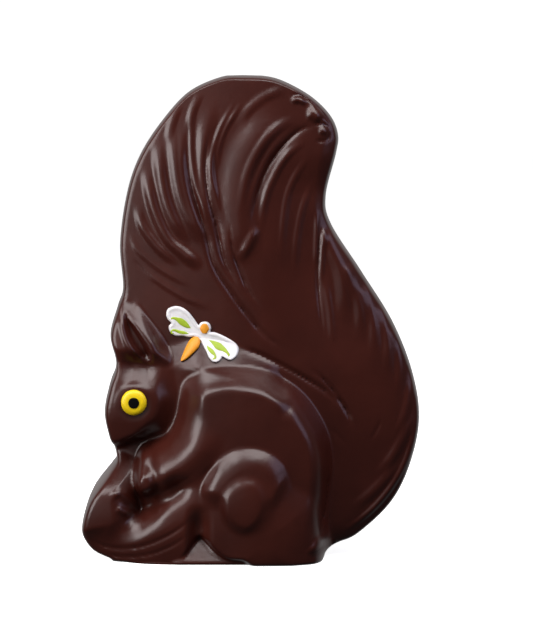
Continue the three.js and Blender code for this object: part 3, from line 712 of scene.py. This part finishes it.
def colour_property(name, description, hex_colour):
    return bpy.props.FloatVectorProperty(
        name=name, description=description, subtype="COLOR", default=linear(hex_colour)[:3])


class SquirrelColours(bpy.types.PropertyGroup):
    """Colours of the chocolate and of the sugar"""

    chocolate_light: colour_property("Chocolate", "Lighter tint of the chocolate", "#3F1912")
    chocolate_dark: colour_property("Dark chocolate", "Darker tint of the chocolate", "#35130D")
    white: colour_property("Wings", "Colour of the dragonfly's wings", "#ECECEE")
    green: colour_property("Wing fields", "Colour of the fields on the wings", "#A8C42E")
    orange: colour_property("Dragonfly", "Colour of the dragonfly's head and abdomen", "#F0A022")
    yellow: colour_property("Eye", "Colour of the eyes", "#F8D80E")
    black: colour_property("Pupil", "Colour of the pupils", "#030303")


class SQUIRREL_OT_chocolate_body(bpy.types.Operator):
    """Moulds the chocolate squirrel in one piece"""

    bl_idname = "squirrel.chocolate_body"
    bl_label = "Chocolate body"

    def execute(self, context):
        sizes = context.scene.squirrel_sizes
        bm = half_relief(sizes.height / MM, sizes.columns, sizes.rows)
        bmesh.ops.mirror(bm, geom=bm.verts[:] + bm.edges[:] + bm.faces[:], merge_dist=1e-7, axis="Y")
        bmesh.ops.remove_doubles(bm, verts=bm.verts, dist=1e-6)
        bmesh.ops.holes_fill(bm, edges=[edge for edge in bm.edges if edge.is_boundary], sides=0)
        material = tempered_dark_chocolate(context.scene.squirrel_colours)
        finish_piece("chocolate_squirrel", bm, material, "chocolate", "chocolate_body")
        return {"FINISHED"}


class SQUIRREL_OT_eyes(bpy.types.Operator):
    """Sets a yellow sugar eye with a black pupil on each side of the head"""

    bl_idname = "squirrel.eyes"
    bl_label = "Eyes"

    def execute(self, context):
        sizes, colours = context.scene.sugar_sizes, context.scene.squirrel_colours
        yellow = sugar_paste("yellow_sugar_paste", colours.yellow, 0.4)
        black = black_sugar_glaze(colours.black)
        radius, height, pupil = sizes.eye_radius / MM, sizes.eye_height / MM, sizes.pupil_radius / MM
        for name, side in (("near", -1), ("far", 1)):
            eye = button(radius, height, flat=pupil + 0.4, steps=72)
            set_eye(eye, side, EYE_SEAT)
            finish_piece("sugar_eye_" + name, eye, yellow, "yellow_sugar", "eye_" + name)
            dot = button(pupil, PUPIL_HEIGHT, flat=pupil - 0.2, steps=48)
            set_eye(dot, side, EYE_SEAT + height)
            finish_piece("sugar_pupil_" + name, dot, black, "black_sugar", "pupil_" + name)
        return {"FINISHED"}


class SQUIRREL_OT_dragonfly(bpy.types.Operator):
    """Lays the sugar dragonfly on the nape"""

    bl_idname = "squirrel.dragonfly"
    bl_label = "Dragonfly"

    def execute(self, context):
        colours, thickness = context.scene.squirrel_colours, context.scene.sugar_sizes.wing_thickness / MM
        white, green, orange = (sugar_paste(name + "_sugar_paste", getattr(colours, name))
                                for name in ("white", "green", "orange"))
        wings = plate(WINGS, WING_CENTRE, thickness, border=0.8)
        finish_piece("dragonfly_wing_plate", wings, white, "white_sugar", "dragonfly_wings")
        for i, field in enumerate(WING_FIELDS, 1):
            drop = stroke(field, lift=FIELD_LEVEL * thickness, height=0.2)
            finish_piece(f"green_field_{i}", drop, green, "green_sugar", f"wing_field_{i}")
        head = stroke(SUGAR_HEAD, lift=FIELD_LEVEL * thickness, height=0.6)
        finish_piece("dragonfly_head_drop", head, orange, "orange_sugar", "dragonfly_head")
        abdomen = stroke(ABDOMEN, lift=0.3, height=1.3)
        finish_piece("dragonfly_abdomen_drop", abdomen, orange, "orange_sugar", "dragonfly_abdomen")
        return {"FINISHED"}


class SQUIRREL_OT_stage(bpy.types.Operator):
    """Sets the floor, the soft lights and the camera"""

    bl_idname = "squirrel.stage"
    bl_label = "Studio"

    def execute(self, context):
        grid_shape, sphere_shape = bmesh.ops.create_grid, bmesh.ops.create_uvsphere
        self.sweep("floor", glow=0.9, shape=grid_shape, x_segments=1, y_segments=1, size=4)
        self.sweep("backdrop", glow=1.0, shape=sphere_shape, u_segments=48, v_segments=24, radius=5)
        self.world(context)
        for name, settings in SOFTBOXES.items():
            self.softbox(name, *settings)
        self.camera(context)
        return {"FINISHED"}

    def sweep(self, name, glow, shape, **settings):
        """A white surface that only the camera sees: it neither lights the figure nor shows in its gloss."""
        bm = bmesh.new()
        shape(bm, **settings)
        material, shader = new_material("white_" + name)
        shader.inputs["Base Color"].default_value = linear("#F4F4F4")
        shader.inputs["Roughness"].default_value = 0.9
        shader.inputs["Emission Color"].default_value = (1, 1, 1, 1)
        shader.inputs["Emission Strength"].default_value = glow
        surface = add_mesh(name, bm, material)
        surface.visible_glossy = False
        surface.visible_diffuse = False
        surface.visible_shadow = False

    def world(self, context):
        """A dim sky that grows brighter straight behind the figure."""
        world = bpy.data.worlds.new("studio_world")
        context.scene.world = world
        world.use_nodes = True
        place = add_node(world, "ShaderNodeTexCoord")
        split = add_node(world, "ShaderNodeSeparateXYZ", links={"Vector": (place, "Generated")})
        grade = add_node(world, "ShaderNodeMapRange", {"From Min": 0.2, "From Max": 0.95, "To Min": 0.05,
                                                       "To Max": 0.5}, {"Value": (split, "Y")})
        links = world.node_tree.links
        links.new(grade.outputs["Result"], world.node_tree.nodes["Background"].inputs["Strength"])
        world.node_tree.nodes["Background"].inputs["Color"].default_value = (1, 1, 1, 1)

    def softbox(self, name, around, off_axis, size, radiance, tint):
        """A soft box that stands so many degrees round and off the camera's line of sight."""
        light = bpy.data.lights.new(name, "AREA")
        light.shape = "RECTANGLE"
        light.size, light.size_y = size
        light.energy = radiance * math.pi * size[0] * size[1]
        light.color = linear(tint)[:3]
        around, off_axis = math.radians(around), math.radians(off_axis)
        arm = Vector((math.cos(around) * math.sin(off_axis), -math.cos(off_axis),
                      math.sin(around) * math.sin(off_axis)))
        lamp = add_object(name, light)
        lamp.location = LIT_POINT + SOFTBOX_DISTANCE * (Matrix.Rotation(-CAMERA_TILT, 3, "X") @ arm)
        lamp.rotation_euler = (LIT_POINT - lamp.location).to_track_quat("-Z", "Y").to_euler()

    def camera(self, context):
        view = bpy.data.cameras.new("camera")
        view.sensor_fit = "VERTICAL"
        view.sensor_height = 36
        view.lens = view.sensor_height * CAMERA_DISTANCE / PICTURE_HEIGHT
        camera = add_object("camera", view)
        back = Vector((0, -math.cos(CAMERA_TILT), math.sin(CAMERA_TILT)))
        camera.location = CAMERA_TARGET + CAMERA_DISTANCE * back
        camera.rotation_euler = (math.pi / 2 - CAMERA_TILT, 0, 0)
        context.scene.camera = camera
        context.scene.view_settings.view_transform = "Standard"


class SQUIRREL_PT_panel(bpy.types.Panel):
    """Lists the figure's pieces"""

    bl_idname = "SQUIRREL_PT_panel"
    bl_label = "Chocolate squirrel"
    bl_space_type = "VIEW_3D"
    bl_region_type = "UI"
    bl_category = "Squirrel"

    def draw(self, context):
        for operator in OPERATORS:
            self.layout.operator(operator.bl_idname)


OPERATORS = (SQUIRREL_OT_chocolate_body, SQUIRREL_OT_eyes, SQUIRREL_OT_dragonfly, SQUIRREL_OT_stage)
GROUPS = {"squirrel_sizes": SquirrelSizes, "sugar_sizes": SugarSizes, "squirrel_colours": SquirrelColours}
CLASSES = (*GROUPS.values(), *OPERATORS, SQUIRREL_PT_panel)


def register():
    for cls in CLASSES:
        bpy.utils.register_class(cls)
    for name, group in GROUPS.items():
        setattr(bpy.types.Scene, name, bpy.props.PointerProperty(type=group))


def unregister():
    for name in GROUPS:
        delattr(bpy.types.Scene, name)
    for cls in reversed(CLASSES):
        bpy.utils.unregister_class(cls)


def main():
    register()
    bpy.ops.squirrel.chocolate_body()
    bpy.ops.squirrel.eyes()
    bpy.ops.squirrel.dragonfly()
    bpy.ops.squirrel.stage()


if __name__ == "__main__":
    main()
